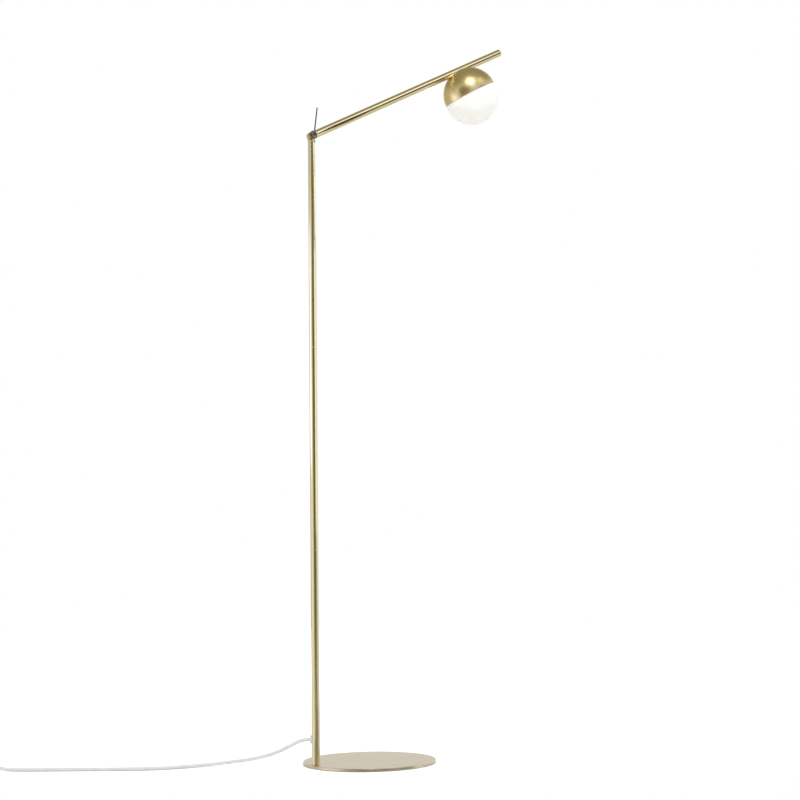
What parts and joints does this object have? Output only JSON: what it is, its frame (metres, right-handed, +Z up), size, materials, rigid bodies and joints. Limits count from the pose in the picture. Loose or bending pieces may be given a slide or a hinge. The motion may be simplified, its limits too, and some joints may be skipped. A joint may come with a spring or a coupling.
{
  "type": "floor lamp",
  "caption": "Floor lamp with a round base, a slim pole near its rim and a tilting arm that carries a ball head: a metal half-ball cap over an opal glass half-ball.",
  "frame": {"origin": "on the floor under the centre of the base", "axes": "+Z up, +X from the pole towards the head, so the clamp lever is on the -Y side"},
  "size_m": [1.091, 0.602, 1.4596],
  "materials": {
    "brass_satin": "satin brass plate on steel",
    "base_brushed": "fine turned brush marks under satin brass plate",
    "pad_foam": "matt non-slip foam",
    "zinc_steel": "plain zinc-plated steel",
    "lever_steel": "satin grey steel",
    "washer_fibre": "matt fibre",
    "cord_white": "matt white sheath",
    "moulded_white": "fine-grained white moulding",
    "inner_cable": "matt",
    "ring_white": "matt moulding",
    "holder_white": "matt heat-proof moulding",
    "bulb_white": "matt moulding",
    "bulb_clear": "frosted cover",
    "board_white": "matt board",
    "contact_brass": "bare brass",
    "pin_nickel": "nickel plate",
    "opal_glass": "glossy opal",
    "gasket_soft": "matt silicone",
    "tie_black": "woven strap"
  },
  "bodies": {
    "stand": {"base_plate": "base_brushed", "base_pad": "pad_foam", "base_screw": "zinc_steel", "foot_plug": "zinc_steel", "lower_tube": "brass_satin", "middle_tube": "brass_satin", "upper_tube": "brass_satin", "lower_tube_bush": "zinc_steel", "middle_tube_lower_bush": "zinc_steel", "middle_tube_upper_bush": "zinc_steel", "upper_tube_bush": "zinc_steel", "lower_joint_nipple": "zinc_steel", "upper_joint_nipple": "zinc_steel", "cord_gland": "moulded_white", "pole_cable": "inner_cable", "pole_knuckle": "brass_satin", "friction_washer": "washer_fibre", "cord_lead": "cord_white", "switch_lower_shell": "moulded_white", "switch_upper_shell": "moulded_white", "switch_pin": "zinc_steel", "switch_contacts": "contact_brass", "switch_screws": "zinc_steel", "cord_coil": "cord_white", "coil_tie": "tie_black", "plug_boot": "moulded_white", "plug_body": "moulded_white", "plug_pins": "pin_nickel"},
    "arm": {"arm_knuckle": "brass_satin", "arm_tube": "brass_satin", "arm_end_cap": "brass_satin", "arm_insert": "zinc_steel", "arm_cable": "inner_cable", "head_cap": "brass_satin", "head_screws": "zinc_steel", "holder_bracket": "zinc_steel", "holder_screws": "zinc_steel", "lampholder": "holder_white", "bulb_base": "bulb_white", "bulb_pins": "pin_nickel", "bulb_cover": "bulb_clear", "bulb_board": "board_white", "glass_ring": "ring_white"},
    "glass": {"glass_shade": "opal_glass", "glass_gasket": "gasket_soft"},
    "lever": {"clamp_washer": "brass_satin", "clamp_screw": "brass_satin", "lever_rod": "lever_steel"},
    "rocker": {"switch_rocker": "moulded_white"}
  },
  "joints": [
    {"name": "arm_tilt", "type": "hinge", "parent": "stand", "child": "arm", "pos_m": [-0.1105, 0, 1.19], "axis": [0, -1, 0], "range_deg": [-45, 55]},
    {"name": "clamp_turn", "type": "hinge", "parent": "stand", "child": "lever", "pos_m": [-0.1105, 0, 1.19], "axis": [0, -1, 0], "range_deg": [0, 150]},
    {"name": "glass_removal", "type": "slide", "parent": "arm", "child": "glass", "axis": [0.5045, 0, -0.8634], "range_m": [0, 0.075]},
    {"name": "rocker_tilt", "type": "hinge", "parent": "stand", "child": "rocker", "pos_m": [-0.66207, 0.35408, 0.0166], "axis": [-0.509, -0.8607, 0], "range_deg": [-16, 0]}
  ]
}
